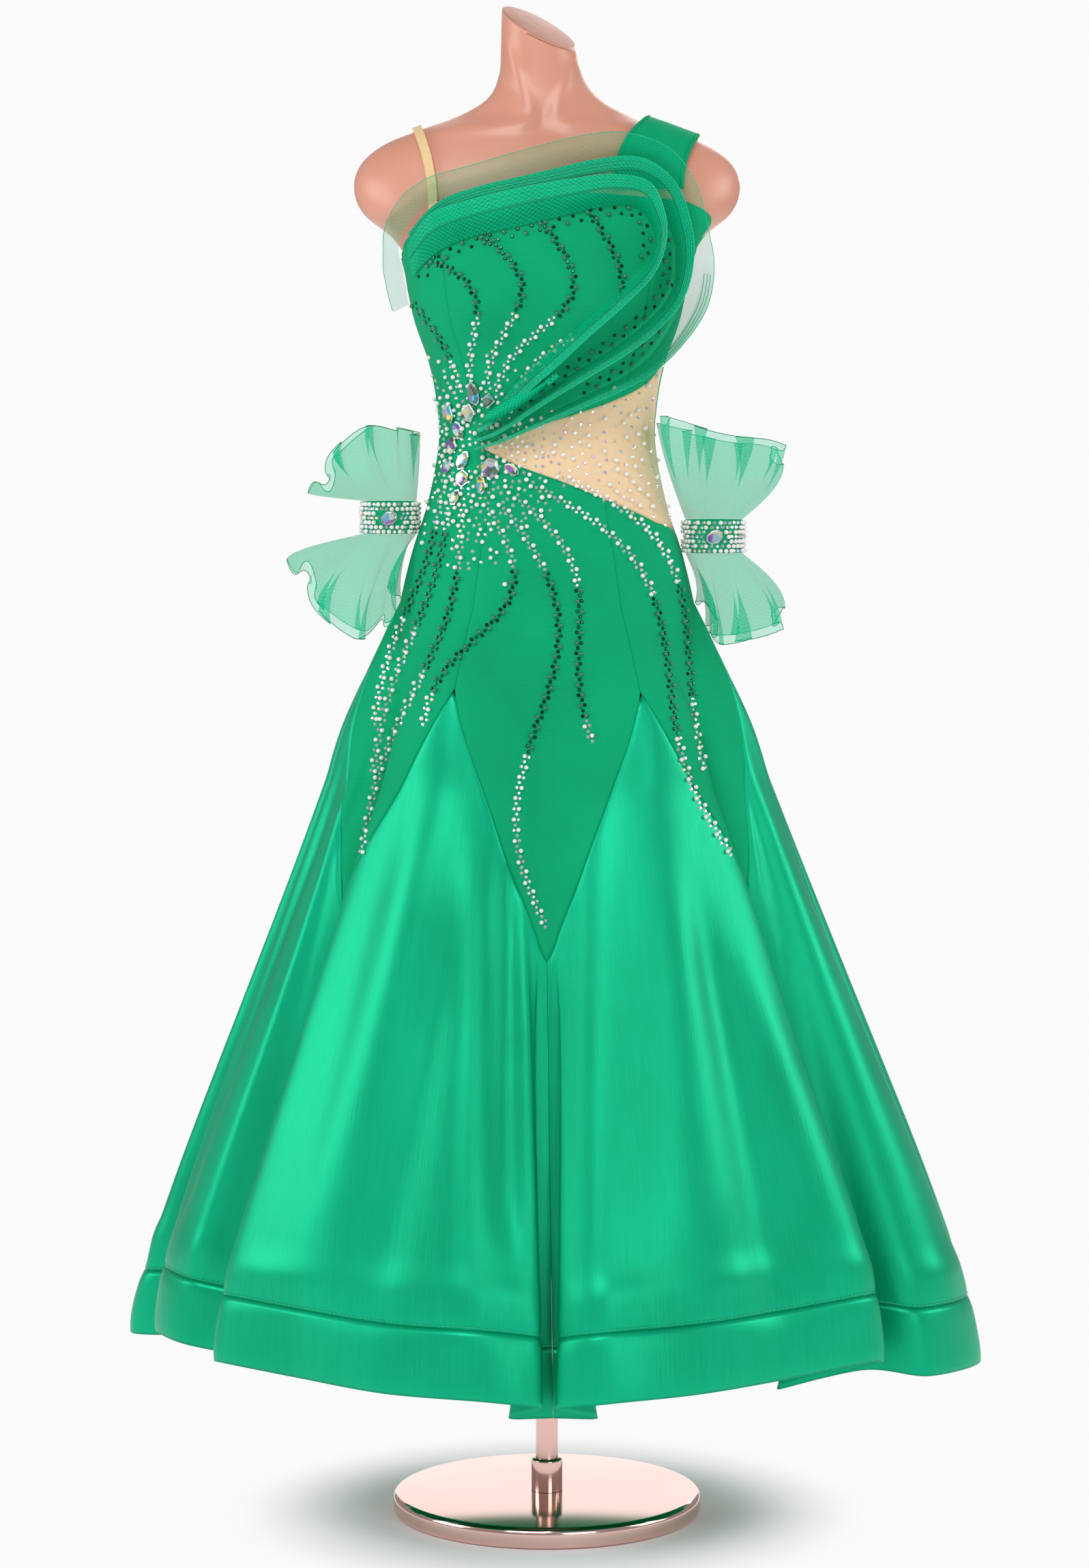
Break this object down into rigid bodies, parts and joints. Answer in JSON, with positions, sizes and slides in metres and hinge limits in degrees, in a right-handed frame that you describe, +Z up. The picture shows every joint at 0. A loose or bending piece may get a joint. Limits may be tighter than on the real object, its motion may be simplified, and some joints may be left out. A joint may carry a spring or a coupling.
{
  "type": "ballroom dance dress on a limbless dress form with a stand",
  "caption": "One-shoulder ballroom dance dress in green crepe and satin with crinoline swirls, godet skirt, stone brooch and matching wrist cuffs, worn by a limbless dress form on a round stand",
  "frame": {"origin": "middle of the stand's underside", "axes": "+Z up, the front of the dress towards -Y, +X to the viewer's right"},
  "size_m": [0.8848, 0.6522, 1.5397],
  "materials": {
    "stand": "mirror polished rose gold",
    "form": "satin skin-tone paint",
    "crepe": "fine ribbed stretch crepe",
    "satin": "glossy satin",
    "nude_mesh": "fine stretch mesh",
    "crinoline": "sheer crinoline and organza",
    "crystal": "faceted rainbow-coated crystal"
  },
  "bodies": {
    "root": {"base_disc": "stand", "pole_collar": "stand", "pole": "stand", "dress_form": "form", "gore_left": "crepe", "gore_back_left": "crepe", "gore_back_centre": "crepe", "gore_back_right": "crepe", "bodice_centre": "crepe", "bodice_right": "crepe", "hip_centre": "crepe", "hip_right": "crepe", "strap_front": "crepe", "strap_back": "crepe", "cuff_left": "crepe", "cuff_right": "crepe", "godet_front_left": "satin", "godet_front_right": "satin", "godet_side_left": "satin", "godet_side_right": "satin", "godet_back_left": "satin", "godet_back_right": "satin", "hem_front_left": "satin", "hem_front_right": "satin", "hem_side_left": "satin", "hem_side_right": "satin", "hem_back_left": "satin", "hem_back_right": "satin", "mesh_inset": "nude_mesh", "thin_strap_front": "nude_mesh", "thin_strap_back": "nude_mesh", "swirl_inner": "crinoline", "swirl_middle": "crinoline", "swirl_outer": "crinoline", "ruffle_upper_left": "crinoline", "ruffle_lower_left": "crinoline", "ruffle_upper_right": "crinoline", "ruffle_lower_right": "crinoline", "stone_top": "crystal", "stone_purple": "crystal", "stone_yellow": "crystal", "stone_violet": "crystal", "stone_clear": "crystal", "stone_dark": "crystal", "stone_left": "crystal", "stone_outer_left": "crystal", "stone_blue": "crystal", "stone_inset": "crystal", "stone_hexagon": "crystal", "stone_low": "crystal", "stone_lowest": "crystal", "cuff_stone_left": "crystal", "cuff_stone_right": "crystal"}
  },
  "joints": []
}
